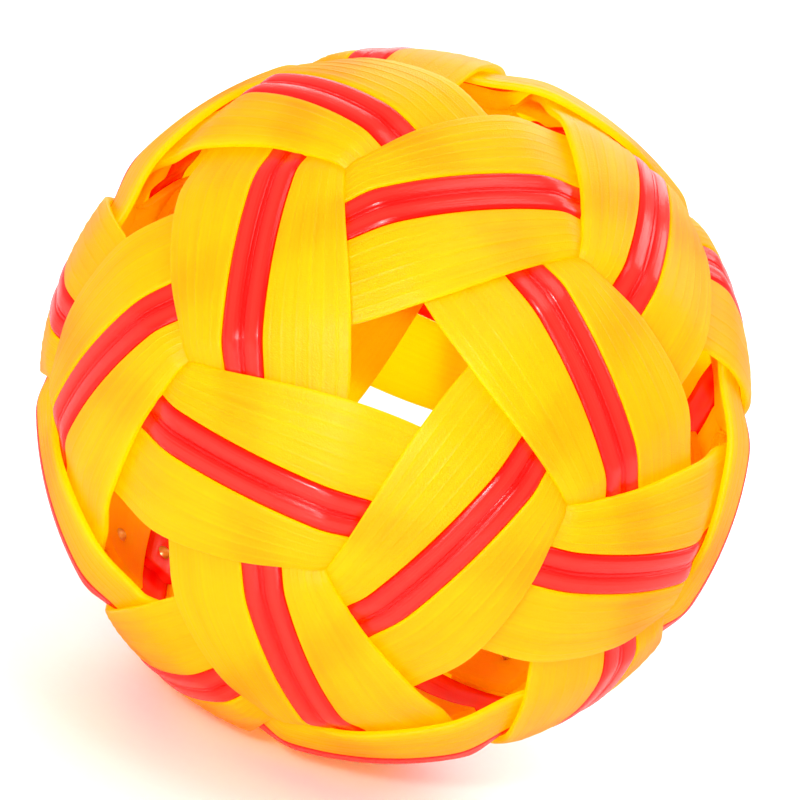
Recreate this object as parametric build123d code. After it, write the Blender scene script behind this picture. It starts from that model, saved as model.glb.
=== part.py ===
from build123d import *
import os
from math import asin, atan, cos, degrees, radians, sin, sqrt, tan

# A hollow, woven foot-juggling ball. Six bands run round it as great circles, each square
# to one of the six five-fold axes of an icosahedron. Every band is three flat plastic
# strips side by side: yellow, red, yellow. At each of the thirty crossings one band passes
# over another, and along a band the crossings go over, under, over. Twelve five-sided
# openings and twenty closed swirls, where three bands meet, lie between the crossings.
# Each strip is a ring of its own, with its two ends lapped and held by one brass pin.
#
# The origin is the ball's centre. +Z runs through the middle of the top opening, and the
# front opening looks towards -Y. All lengths are millimetres and all angles degrees.

os.makedirs("parts", exist_ok=True)

# Ball and weave
ball_diameter = 137.0
strip_thickness = 1.7
layer_gap = 0.7
swirl_gap = 1.5
fold_length = 3.0

# Strips
red_width = 8.4
yellow_width = 16.7
side_gap = 0.16

# Lapped ends
yellow_lap_length = 18.0
red_lap_length = 11.0
lap_gap = 0.15
dip_length = 2.9
end_gap = 0.6

# Pins
pin_diameter = 1.3
pin_clearance = 0.05
seat_gap = 0.04
head_diameter = 3.0
head_thickness = 0.3
dome_diameter = 2.8
dome_height = 0.9
tail_length = 2.6

# How finely the strips are drawn
section_step = 2.0

# The weave's fixed angles
period = 72.0
half_period = period / 2
quarter_period = period / 4
band_tilt = degrees(atan(2))
opening_offset = 90 - band_tilt
swirl_offset = degrees(asin(sqrt((5 - 2 * sqrt(5)) / 15)))

# Radii: an over strip reaches the ball's diameter and an under strip lies a layer inside
rise = (strip_thickness + layer_gap) / 2
mean_radius = ball_diameter / 2 - strip_thickness / 2 - rise
lap_drop = strip_thickness + lap_gap


def arc(length):
    """The angle that a length takes up at the mean radius."""
    return degrees(length / mean_radius)


# Angles across a band, from its centre line
red_half = arc(red_width / 2)
yellow_inner = arc(red_width / 2 + side_gap)
yellow_outer = yellow_inner + arc(yellow_width)
yellow_middle = yellow_inner + arc(yellow_width / 2)
yellow_at_swirl = swirl_offset - arc(swirl_gap)

# Angles along a band: how long the step from over to under takes at a swirl and beside
# an opening, where it runs a little past both ends of the opening's side
swirl_step = arc(fold_length)
opening_half_side = degrees(atan(tan(radians(opening_offset - yellow_outer)) * tan(radians(half_period))))
overrun = 1.45
opening_step = max(swirl_step, overrun * opening_half_side)
edge_fullness = 1.15

# How far a strip turns while its last end dips under its first
dip_half = arc(dip_length)


def lap_start(side):
    """Where a strip's outer end begins. A yellow lap is centred under its crossing, and a red
    one comes as soon as the strip has passed over the band before."""
    if side:
        return half_period - arc(yellow_lap_length / 2)
    return quarter_period + arc(fold_length / 2) + 2 * dip_half + arc(end_gap)


def lap_end(side):
    """Where the inner end stops."""
    return lap_start(side) + arc(yellow_lap_length if side else red_lap_length)


def pin_angle(side):
    """The middle of the lap."""
    return (lap_start(side) + lap_end(side)) / 2


def ease(x):
    """A smooth step from 0 at x = -1 to 1 at x = 1."""
    t = (min(max(x, -1), 1) + 1) / 2
    return t * t * t * (t * (6 * t - 15) + 10)


def from_crossing(turn):
    """The angle along a band, counted from its nearest over crossing."""
    return (turn + half_period) % period - half_period


def outer_edge(turn, side):
    """Where a yellow strip's outer edge lies: furthest out beside an opening, drawn in at a swirl."""
    from_swirl = abs(from_crossing(from_crossing(turn) * side + quarter_period))
    fullness = sin(radians(90 * from_swirl / half_period)) ** edge_fullness
    return yellow_at_swirl + (yellow_outer - yellow_at_swirl) * fullness


def height(turn, across):
    """How far a strip's middle surface stands off the mean sphere."""
    along = from_crossing(turn)
    step_ahead = swirl_step + (opening_step - swirl_step) * ease(across / yellow_outer)
    step_behind = swirl_step + (opening_step - swirl_step) * ease(-across / yellow_outer)
    over = ease((quarter_period - along) / step_ahead) * ease((quarter_period + along) / step_behind)
    return rise * (2 * over - 1)


def strip_point(side, turn, across, depth):
    """A point of a strip, depth away from its middle surface, with the last end dipped under the first."""
    dip_middle = lap_start(side) - arc(end_gap) - dip_half
    drop = lap_drop * ease((turn - 360 - dip_middle) / dip_half)
    radius = mean_radius + height(turn, across) + depth - drop
    flat = radius * cos(radians(across))
    return Vector(flat * cos(radians(turn)), flat * sin(radians(turn)), radius * sin(radians(across)))


def strip_section(side, turn, low, high):
    """The closed outline of a strip, cut square across at one angle along its band."""
    spread = (low, (low + high) / 2, high)
    outer_face, inner_face = strip_thickness / 2, -strip_thickness / 2
    outside = ThreePointArc(*[strip_point(side, turn, across, outer_face) for across in spread])
    inside = ThreePointArc(*[strip_point(side, turn, across, inner_face) for across in reversed(spread)])
    return Wire([outside, Line(outside @ 1, inside @ 0), inside, Line(inside @ 1, outside @ 0)])


def strip(side):
    """One strip in its band's own frame: side is 0 for red, +1 or -1 for a yellow one."""
    span = 360 + lap_end(side) - lap_start(side)
    count = round(span / section_step)
    sections = []
    for k in range(count + 1):
        turn = lap_start(side) + span * k / count
        low, high = -red_half, red_half
        if side:
            edges = (side * yellow_inner, side * outer_edge(turn, side))
            low, high = min(edges), max(edges)
        sections.append(strip_section(side, turn, low, high))
    return Solid.make_loft(sections) - pin_bore(side)


def pin_place(side):
    """The pin's axis, square through the lap, with its own +Z pointing out of the ball."""
    across = side * yellow_middle
    outward = strip_point(side, pin_angle(side), across, 0).normalized()
    return Location(Plane(origin=(0, 0, 0), z_dir=outward))


lap_outside = mean_radius - rise + strip_thickness / 2
lap_inside = lap_outside - strip_thickness - lap_drop


def pin_bore(side):
    """The hole for the pin through both ends of a strip."""
    margin = strip_thickness / 2
    depth = lap_outside - lap_inside + 2 * margin
    bore = Solid.make_cylinder(pin_diameter / 2 + pin_clearance, depth)
    return pin_place(side) * Pos(0, 0, lap_inside - margin) * bore


def pin(side, long_tail):
    """A brass pin: a flat head outside the lap, and a dome or a blunt tail inside the ball."""
    shank_radius = pin_diameter / 2
    head_seat = lap_outside + seat_gap
    dome_seat = lap_inside - seat_gap
    head = Pos(0, 0, head_seat) * Solid.make_cylinder(head_diameter / 2, head_thickness)
    if long_tail:
        tip = lap_inside - tail_length
        shank = Pos(0, 0, tip) * Solid.make_cylinder(shank_radius, head_seat - tip)
        inner_end = Pos(0, 0, tip) * Sphere(shank_radius)
    else:
        shank = Pos(0, 0, dome_seat) * Solid.make_cylinder(shank_radius, head_seat - dome_seat)
        dome_radius = ((dome_diameter / 2) ** 2 + dome_height**2) / (2 * dome_height)
        ball = Pos(0, 0, dome_seat - dome_height + dome_radius) * Sphere(dome_radius)
        slab = Pos(0, 0, dome_seat - dome_height) * Solid.make_cylinder(dome_diameter, dome_height)
        inner_end = ball & slab
    return pin_place(side) * (head + shank + inner_end)


# Each band's place: how far it is tipped and turned, and whether it is turned over end for
# end. Then which of its five under crossings hide its laps, and whether its yellow strips'
# pins were left long inside the ball.
bands = [
    {"tilt": 0, "turn": half_period, "flip": 0, "yellow_lap": 1, "red_lap": 1, "long_pins": False},
    {"tilt": band_tilt, "turn": 0, "flip": 0, "yellow_lap": 3, "red_lap": 3, "long_pins": True},
    {"tilt": band_tilt, "turn": period, "flip": 0, "yellow_lap": 0, "red_lap": 0, "long_pins": False},
    {"tilt": band_tilt, "turn": 2 * period, "flip": 180, "yellow_lap": 1, "red_lap": 3, "long_pins": True},
    {"tilt": band_tilt, "turn": 3 * period, "flip": 180, "yellow_lap": 2, "red_lap": 2, "long_pins": True},
    {"tilt": band_tilt, "turn": 4 * period, "flip": 0, "yellow_lap": 3, "red_lap": 3, "long_pins": False},
]


def band_place(band, lap_crossing):
    """The place of a strip in the ball, with its lap at one of its band's under crossings."""
    tipped = Rot(Z=band["turn"]) * Rot(X=band["tilt"])
    return tipped * Rot(X=band["flip"]) * Rot(Z=period * lap_crossing)


red_strip = strip(0)
red_pin = pin(0, False)
for number, band in enumerate(bands, start=1):
    place = band_place(band, band["red_lap"])
    export_step(place * red_strip, f"parts/band{number}_red_strip.step")
    export_step(place * red_pin, f"parts/band{number}_red_pin.step")

for letter, side in (("a", 1), ("b", -1)):
    yellow_strip = strip(side)
    for number, band in enumerate(bands, start=1):
        place = band_place(band, band["yellow_lap"])
        export_step(place * yellow_strip, f"parts/band{number}_yellow_strip_{letter}.step")
        yellow_pin = pin(side, band["long_pins"])
        export_step(place * yellow_pin, f"parts/band{number}_yellow_pin_{letter}.step")
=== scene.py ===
from math import asin, atan, cos, degrees, exp, radians, sin, sqrt, tan

import bmesh
import bpy
from mathutils import Matrix, Vector


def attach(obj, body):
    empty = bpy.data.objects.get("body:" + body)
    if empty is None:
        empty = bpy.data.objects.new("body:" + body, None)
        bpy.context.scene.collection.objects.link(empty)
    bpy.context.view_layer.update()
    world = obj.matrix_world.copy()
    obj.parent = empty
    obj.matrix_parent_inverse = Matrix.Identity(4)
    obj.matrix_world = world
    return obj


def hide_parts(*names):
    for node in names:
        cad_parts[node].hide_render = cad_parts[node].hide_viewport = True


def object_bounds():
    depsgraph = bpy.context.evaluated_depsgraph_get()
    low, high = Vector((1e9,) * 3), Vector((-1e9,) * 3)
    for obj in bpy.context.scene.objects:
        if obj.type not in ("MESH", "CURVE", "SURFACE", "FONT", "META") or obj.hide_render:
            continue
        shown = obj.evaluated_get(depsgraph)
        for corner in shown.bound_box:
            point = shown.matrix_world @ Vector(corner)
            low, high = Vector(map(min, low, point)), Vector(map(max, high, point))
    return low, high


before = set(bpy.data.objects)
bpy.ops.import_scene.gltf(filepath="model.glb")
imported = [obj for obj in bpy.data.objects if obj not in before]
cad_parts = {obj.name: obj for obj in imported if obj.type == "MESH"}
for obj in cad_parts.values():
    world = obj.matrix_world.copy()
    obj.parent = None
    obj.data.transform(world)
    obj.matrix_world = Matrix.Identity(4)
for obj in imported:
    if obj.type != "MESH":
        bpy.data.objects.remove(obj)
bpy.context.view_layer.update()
scene = bpy.context.scene
mm = 0.001

# ---- The camera ----
# A long lens, almost square to one of the ball's upper openings. The ball lies
# a little rolled in the picture, so the camera is rolled the same way.

ball_radius = max(v.co.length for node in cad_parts.values() for v in node.data.vertices)
azimuth, elevation, roll = radians(1.2), radians(19.6), radians(20.4)
distance = 40.3 * ball_radius
back = Vector((sin(azimuth) * cos(elevation), -cos(azimuth) * cos(elevation), sin(elevation)))
level = Vector((cos(azimuth), sin(azimuth), 0))
above = back.cross(level)
camera_right = level * cos(roll) + above * sin(roll)
camera_up = above * cos(roll) - level * sin(roll)
camera = bpy.data.objects.new("camera", bpy.data.cameras.new("camera"))
scene.collection.objects.link(camera)
scene.camera = camera
camera.data.sensor_width = 36
camera.data.lens = 36 * distance / (2.23 * ball_radius)
camera.data.clip_start, camera.data.clip_end = 0.1, 30
side_step = 0.016 * ball_radius
turn = Matrix((camera_right, camera_up, back)).transposed().to_4x4()
camera.matrix_world = Matrix.Translation(back * distance + (camera_right + camera_up) * side_step) @ turn
scene.view_settings.view_transform = "Standard"
bounces_through_strips = 32
scene.cycles.max_bounces = bounces_through_strips
scene.cycles.diffuse_bounces = bounces_through_strips
scene.cycles.transmission_bounces = bounces_through_strips

# ---- How the ball is woven ----
# Six bands run round the ball as great circles, square to the six five-fold axes of an
# icosahedron. Along a band the crossings go over, under, over, one every 36 degrees.
# Openings and swirls alternate beside it, half way between the crossings.

period, crossing_gap, beside = 72, 36, 18
band_tilt = degrees(atan(2))
swirl_offset = degrees(asin(sqrt((5 - 2 * sqrt(5)) / 15)))
thickness, layer_gap = 1.7 * mm, 0.7 * mm
rise = (thickness + layer_gap) / 2
mean_radius = ball_radius - thickness / 2 - rise


def arc(length):
    """The angle a length takes up on the ball."""
    return degrees(length / mean_radius)


yellow_inner = arc(4.28 * mm)
yellow_outer = arc(21.1 * mm)
edge_at_swirl = swirl_offset + 0.2
swirl_step = arc(3.0 * mm)
opening_step = 1.45 * degrees(atan(tan(radians(90 - band_tilt - yellow_outer)) * tan(radians(crossing_gap))))


def ease(x):
    """A smooth step from 0 at x = -1 to 1 at x = 1."""
    t = (min(max(x, -1), 1) + 1) / 2
    return t * t * t * (t * (6 * t - 15) + 10)


def from_over(turn):
    """The angle along a band from its nearest over crossing."""
    return (turn + crossing_gap) % period - crossing_gap


def from_swirl(turn, side):
    """The angle along a band from the nearest swirl on that side of it."""
    return abs(from_over(from_over(turn) * side + beside))


def outer_edge(turn, side):
    """A yellow strip's outer edge: furthest out beside an opening, drawn in at a swirl."""
    fullness = sin(radians(90 * from_swirl(turn, side) / crossing_gap)) ** 1.15
    return edge_at_swirl + (yellow_outer - edge_at_swirl) * fullness


def weave(turn, across):
    """How far the weave lifts a strip off the mean sphere or presses it in."""
    along = from_over(turn)
    ahead = swirl_step + (opening_step - swirl_step) * ease(across / yellow_outer)
    behind = swirl_step + (opening_step - swirl_step) * ease(-across / yellow_outer)
    over = ease((beside - along) / ahead) * ease((beside + along) / behind)
    return rise * (2 * over - 1)


# The laps: each strip's last end dips under its first and is pinned to it
dip_half = arc(2.9 * mm)
lap_drop = thickness + 0.15 * mm
crown = 0.45 * mm
fold = 1.5 * mm


def lap(side):
    """Where a strip's outer end begins and its inner end stops."""
    if side:
        return crossing_gap - arc(9 * mm), crossing_gap + arc(9 * mm)
    start = beside + arc(1.5 * mm) + 2 * dip_half + arc(0.6 * mm)
    return start, start + arc(11 * mm)


def on_ball(turn, across, depth, share, side):
    """The point of a bent strip that was at this depth in the flat one."""
    dip_middle = lap(side)[0] - arc(0.6 * mm) - dip_half
    drop = lap_drop * ease((turn - 360 - dip_middle) / dip_half)
    drop += crown * abs(across / yellow_outer) ** 4
    if side:
        drop += fold * share**3 * (1 - ease(from_swirl(turn, side) / 8 - 1))
    radius = mean_radius + weave(turn, across) + depth - drop
    flat = radius * cos(radians(across))
    return Vector((flat * cos(radians(turn)), flat * sin(radians(turn)), radius * sin(radians(across))))


bands = [
    {"tilt": 0, "turn": 36, "flip": 0, "yellow_lap": 1, "red_lap": 1},
    {"tilt": band_tilt, "turn": 0, "flip": 0, "yellow_lap": 3, "red_lap": 3},
    {"tilt": band_tilt, "turn": 72, "flip": 0, "yellow_lap": 0, "red_lap": 0},
    {"tilt": band_tilt, "turn": 144, "flip": 180, "yellow_lap": 1, "red_lap": 3},
    {"tilt": band_tilt, "turn": 216, "flip": 180, "yellow_lap": 2, "red_lap": 2},
    {"tilt": band_tilt, "turn": 288, "flip": 0, "yellow_lap": 3, "red_lap": 3},
]


def band_place(band, lap_crossing):
    """The turn that takes a strip to its band's place, with its lap at that under crossing."""
    tilt = Matrix.Rotation(radians(band["tilt"]), 4, "X")
    turn = Matrix.Rotation(radians(band["turn"]), 4, "Z")
    flip = Matrix.Rotation(radians(band["flip"]), 4, "X")
    return turn @ tilt @ flip @ Matrix.Rotation(radians(period * lap_crossing), 4, "Z")


def strip_mesh(name, outline, width, side):
    """A strip drawn flat from its outline, then bent round the ball. outline is (across, depth)."""
    steps = 500
    lap_start, lap_end = lap(side)
    span = 360 + lap_end - lap_start
    mesh = bmesh.new()
    points = [mesh.verts.new((0, across, depth)) for across, depth in outline]
    ring = [mesh.edges.new(pair) for pair in zip(points, points[1:] + points[:1])]
    bmesh.ops.spin(mesh, geom=ring, angle=0, steps=steps, dvec=(span / steps, 0, 0),
                   axis=(0, 0, 1), cent=(0, 0, 0))
    open_edges = [e for e in mesh.edges if e.is_boundary]
    for at_far_end in (False, True):
        rim = [e for e in open_edges if (e.verts[0].co.x > span / 2) == at_far_end]
        bmesh.ops.edgeloop_fill(mesh, edges=rim)
    layer = mesh.loops.layers.uv.new("strip")
    for face in mesh.faces:
        for loop in face.loops:
            along = radians(loop.vert.co.x) * mean_radius
            loop[layer].uv = (along, loop.vert.co.y)
    for point in mesh.verts:
        turn, across, depth = point.co
        turn += lap_start
        share = across / width
        if side:
            angle = side * (yellow_inner + (outer_edge(turn, side) - yellow_inner) * share)
        else:
            angle = degrees(across / mean_radius)
        point.co = on_ball(turn, angle, depth, share, side)
    bmesh.ops.recalc_face_normals(mesh, faces=mesh.faces)
    for face in mesh.faces:
        face.smooth = len(face.verts) < 5
    data = bpy.data.meshes.new(name)
    mesh.to_mesh(data)
    mesh.free()
    return data


def place_on_bands(kind, shape, material, slot):
    """A copy of the shape on each of the six bands, in place of the CAD node."""
    for number, band in enumerate(bands, start=1):
        data = shape.copy()
        data.transform(band_place(band, band[slot.replace("plastic", "lap")]))
        data.materials.append(material)
        node = f"band{number}_{kind}"
        piece = bpy.data.objects.new(node + "_finished", data)
        scene.collection.objects.link(piece)
        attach(piece, "root")
        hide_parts(node)


# ---- Red strips ----
# The narrow middle strip of each band: extruded glossy plastic with two rounded ridges
# and a pair of fine grooves between them. Its edges are rounded over.


class Wire:
    """A shader socket that can be used in sums."""

    def __init__(self, socket):
        self.socket = socket

    def _maths(self, operation, other, swap=False):
        tree = self.socket.id_data
        node = tree.nodes.new("ShaderNodeMath")
        node.operation = operation
        terms = (other, self) if swap else (self, other)
        for slot, term in zip(node.inputs, terms):
            if isinstance(term, Wire):
                tree.links.new(term.socket, slot)
            else:
                slot.default_value = term
        return Wire(node.outputs[0])

    def __add__(self, other):
        return self._maths("ADD", other)

    def __sub__(self, other):
        return self._maths("SUBTRACT", other)

    def __rsub__(self, other):
        return self._maths("SUBTRACT", other, swap=True)

    def __abs__(self):
        return self._maths("ABSOLUTE", 0)

    def clamped(self):
        """This value, kept between 0 and 1."""
        kept = self._maths("ADD", 0)
        kept.socket.node.use_clamp = True
        return kept

    def __mul__(self, other):
        return self._maths("MULTIPLY", other)

    __radd__ = __add__
    __rmul__ = __mul__


class Finish:
    """A new material, with one method that adds any node."""

    def __init__(self, name):
        self.material = bpy.data.materials.new(name)
        self.material.use_nodes = True
        self.tree = self.material.node_tree
        self.tree.nodes.clear()

    def node(self, kind, settings=None, out=0, **inputs):
        node = self.tree.nodes.new("ShaderNode" + kind)
        for key, value in (settings or {}).items():
            setattr(node, key, value)
        for key, value in inputs.items():
            slot = node.inputs[int(key[1:])] if key[0] == "_" else node.inputs[key.replace("_", " ")]
            if isinstance(value, Wire):
                self.tree.links.new(value.socket, slot)
            else:
                slot.default_value = value
        return Wire(node.outputs[out]) if node.outputs else None

    def stretched_noise(self, coords, along, across, **settings):
        """Noise drawn out along the strip."""
        spread = self.node("Mapping", Vector=coords, Scale=(along, across, 1))
        return self.node("TexNoise", Vector=spread, Scale=1.0, **settings)

    def done(self, shader):
        self.node("OutputMaterial", Surface=shader)
        return self.material


red_width = 8.4
groove_places = [-0.42, 0.42]


def red_finish():
    """Deep red in the middle valley, the grooves and on the side walls as painted shade, and paler on the
    ridge crests as a painted sheen, varied by random streaks.
    """
    f = Finish("glossy red plastic")
    strip = f.node("UVMap", {"uv_map": "strip"})
    streaks = f.stretched_noise(strip, 30, 3200, Detail=2.0)
    grain = f.node("TexNoise", Vector=f.node("TexCoord", out=3), Scale=2200.0, Detail=1.0)
    across = f.node("SeparateXYZ", out=1, Vector=strip)
    from_crest = abs(abs(across) * (2 / (red_width * mm)) - 0.5)
    from_groove = abs(abs(across) - groove_places[1] * mm) * (1 / (0.16 * mm))
    clear_of_groove = from_groove.clamped()
    # Painted light: this mask makes the red paler on the two ridge crests, standing in for a sheen, and deep
    # red in the middle valley, the grooves and on the side walls, standing in for shade; the streaks vary it
    # at random.
    painted_crest_sheen = ((1.25 - from_crest * 3.0 + (streaks - 0.5) * 1.2) * clear_of_groove).clamped()
    colour = f.node("Mix", {"data_type": "RGBA"}, out=2, _0=painted_crest_sheen,
                    _6=(0.90, 0.003, 0.0, 1), _7=(0.95, 0.038, 0.022, 1))
    rough = 0.09 + 0.13 * streaks
    relief = f.node("Bump", Height=streaks * 0.8 + grain * 0.2, Strength=1.0, Distance=0.0001)
    skin = f.node("BsdfPrincipled", Base_Color=colour, Roughness=rough, Normal=relief, IOR=1.5)
    glow = f.node("BsdfTranslucent", Color=(1.0, 0.05, 0.005, 1), Normal=relief)
    return f.done(f.node("MixShader", _0=0.5, _1=skin, _2=glow))


def red_outline():
    """Across and depth of the red strip's closed outline: two rounded ridges, two fine grooves."""
    half = red_width / 2
    spots = [half * k / 13 for k in range(-13, 14)]
    spots += [g + step for g in groove_places for step in (-0.22, -0.11, 0, 0.11, 0.22)]
    top = []
    for x in sorted({round(spot, 3) for spot in spots}):
        valley = 0.36 * exp(-((x / 1.2) ** 2))
        groove = 0.22 * sum(exp(-(((x - g) / 0.11) ** 2)) for g in groove_places)
        shoulder = max(0, (abs(x) - half + 1.5) / 1.5)
        top.append((x * mm, thickness / 2 - (valley + groove + 0.75 * shoulder**2.6) * mm))
    low = -thickness / 2
    bottom = [(half * t * mm, low + lift * mm) for t, lift in ((0.98, 0.25), (0.93, 0))]
    bottom += [(half * t * mm, low) for t in (0.6, 0.2, -0.2, -0.6)]
    bottom += [(-half * t * mm, low + lift * mm) for t, lift in ((0.93, 0), (0.98, 0.25))]
    return top + bottom


shape = strip_mesh("red strip", red_outline(), red_width * mm, 0)
place_on_bands("red_strip", shape, red_finish(), "red_plastic")

# ---- Yellow strips ----
# The two wide strips of each band: satin, slightly see-through plastic with six low
# ribs along it. Their outer edges are drawn in where three bands swirl together.

yellow_width = 16.8 * mm
rib_places = [1.2, 3.5, 6.3, 8.9, 11.5, 14.3]
rib_heights = [0.06, 0.09, 0.07, 0.10, 0.07, 0.09]
rib_width = 0.22


def yellow_finish():
    """Yellow with fine lighter and deeper streaks along the strip, and a fine glittering grain."""
    f = Finish("satin yellow plastic")
    strip = f.node("UVMap", {"uv_map": "strip"})
    streaks = f.stretched_noise(strip, 25, 1500, Detail=3.0)
    clouds = f.stretched_noise(strip, 40, 220, Detail=2.0)
    grain = f.node("TexNoise", Vector=f.node("TexCoord", out=3), Scale=3200.0, Detail=1.0)
    depth = (0.5 + (streaks - 0.5) * 1.6 + (clouds - 0.5) * 1.6).clamped()
    colour = f.node("Mix", {"data_type": "RGBA"}, out=2, _0=depth,
                    _6=(1.0, 0.49, 0.0, 1), _7=(1.0, 0.70, 0.0, 1))
    rough = 0.24 + 0.16 * streaks
    relief = f.node("Bump", Height=streaks * 0.45 + grain * 0.7, Strength=1.0, Distance=0.00014)
    skin = f.node("BsdfPrincipled", Base_Color=colour, Roughness=rough, Normal=relief, IOR=1.38)
    glow = f.node("BsdfTranslucent", Color=(1.0, 0.92, 0.01, 1), Normal=relief)
    return f.done(f.node("MixShader", _0=0.68, _1=skin, _2=glow))


def yellow_outline():
    """Across and depth of a yellow strip's closed outline, from its inner edge to its outer edge."""
    spots = [yellow_width / mm * k / 28 for k in range(29)]
    spots += [r + rib_width * step for r in rib_places for step in (-1.6, -0.8, 0, 0.8, 1.6)]
    spots += [0.12, 0.3, yellow_width / mm - 0.3, yellow_width / mm - 0.12]
    top = []
    for x in sorted({round(spot, 3) for spot in spots}):
        rib = sum(h * exp(-(((x - r) / rib_width) ** 2)) for r, h in zip(rib_places, rib_heights))
        edge = max(0, 1 - min(x, yellow_width / mm - x) / 0.5)
        top.append((x * mm, thickness / 2 + (rib - 0.20 - 0.30 * edge**2.2) * mm))
    low = -thickness / 2
    bottom = [(yellow_width * 0.99, low + 0.25 * mm), (yellow_width * 0.965, low)]
    bottom += [(yellow_width * t / 8, low) for t in range(7, 0, -1)]
    bottom += [(yellow_width * 0.035, low), (yellow_width * 0.01, low + 0.25 * mm)]
    return top + bottom


yellow = yellow_finish()
for letter, side in (("a", 1), ("b", -1)):
    shape = strip_mesh("yellow strip " + letter, yellow_outline(), yellow_width, side)
    place_on_bands("yellow_strip_" + letter, shape, yellow, "yellow_plastic")

# ---- Pins ----
# Small brass pins through the lapped ends. They keep their CAD shape and get a worn
# brass finish.


def brass_finish():
    f = Finish("worn brass")
    place = f.node("TexCoord", out=3)
    wear = f.node("TexNoise", Vector=place, Scale=900.0, Detail=4.0)
    colour = f.node("Mix", {"data_type": "RGBA"}, out=2, _0=wear,
                    _6=(0.55, 0.36, 0.16, 1), _7=(0.80, 0.62, 0.38, 1))
    relief = f.node("Bump", Height=wear, Strength=0.3, Distance=0.00005)
    shader = f.node("BsdfPrincipled", Base_Color=colour, Roughness=0.22 + 0.2 * wear,
                    Normal=relief, Metallic=1.0)
    return f.done(shader)


brass = brass_finish()
for name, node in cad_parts.items():
    if "pin" in name:
        node.data.materials.clear()
        node.data.materials.append(brass)

# ---- The table and the light ----
# A plain white sheet under the ball in a bright white room. A large soft box and a small
# one stand by the camera and one stands low in front. One hangs overhead, and three light
# the ball from behind.

floor_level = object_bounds()[0].z
floor_mesh = bmesh.new()
bmesh.ops.create_grid(floor_mesh, x_segments=1, y_segments=1, size=3.0)
bmesh.ops.translate(floor_mesh, verts=floor_mesh.verts, vec=(0, 0, floor_level))
floor = bpy.data.objects.new("white sheet", bpy.data.meshes.new("white sheet"))
floor_mesh.to_mesh(floor.data)
floor_mesh.free()
scene.collection.objects.link(floor)
paper = Finish("white paper")
fibres = paper.node("TexNoise", Vector=paper.node("TexCoord", out=3), Scale=300.0)
tone = paper.node("Mix", {"data_type": "RGBA"}, out=2, _0=fibres,
                  _6=(0.93, 0.93, 0.94, 1), _7=(0.96, 0.96, 0.97, 1))
floor.data.materials.append(paper.done(paper.node("BsdfPrincipled", Base_Color=tone, Roughness=0.5)))

room = bpy.data.worlds.new("white room")
room.use_nodes = True
room.node_tree.nodes["Background"].inputs["Color"].default_value = (1, 1, 1, 1)
room.node_tree.nodes["Background"].inputs["Strength"].default_value = 0.68
scene.world = room


def soft_box(name, towards, away, size, power):
    """A square area light that faces the ball."""
    lamp = bpy.data.lights.new(name, "AREA")
    lamp.size, lamp.energy = size, power
    holder = bpy.data.objects.new(name, lamp)
    holder.visible_camera = False
    scene.collection.objects.link(holder)
    towards = towards.normalized()
    facing = towards.to_track_quat("Z", "Y").to_matrix().to_4x4()
    holder.matrix_world = Matrix.Translation(towards * away) @ facing


soft_box("key", camera_right * -0.15 + camera_up * 0.17 + back, 1.5, 0.6, 8)
soft_box("small key", camera_right * -0.17 + camera_up * 0.15 + back, 1.5, 0.14, 10)
soft_box("overhead", Vector((0.2, -0.1, 1)), 1.4, 0.9, 8)
soft_box("low front", Vector((0, -1, 0.13)), 1.3, 0.4, 4)
soft_box("behind", Vector((0, 1, 0.35)), 1.4, 0.9, 9)
soft_box("left rim", camera_right * -1.0 - back * 0.5, 1.3, 0.5, 4)
soft_box("right rim", camera_right + camera_up * 0.5 - back * 0.5, 1.3, 0.5, 4)
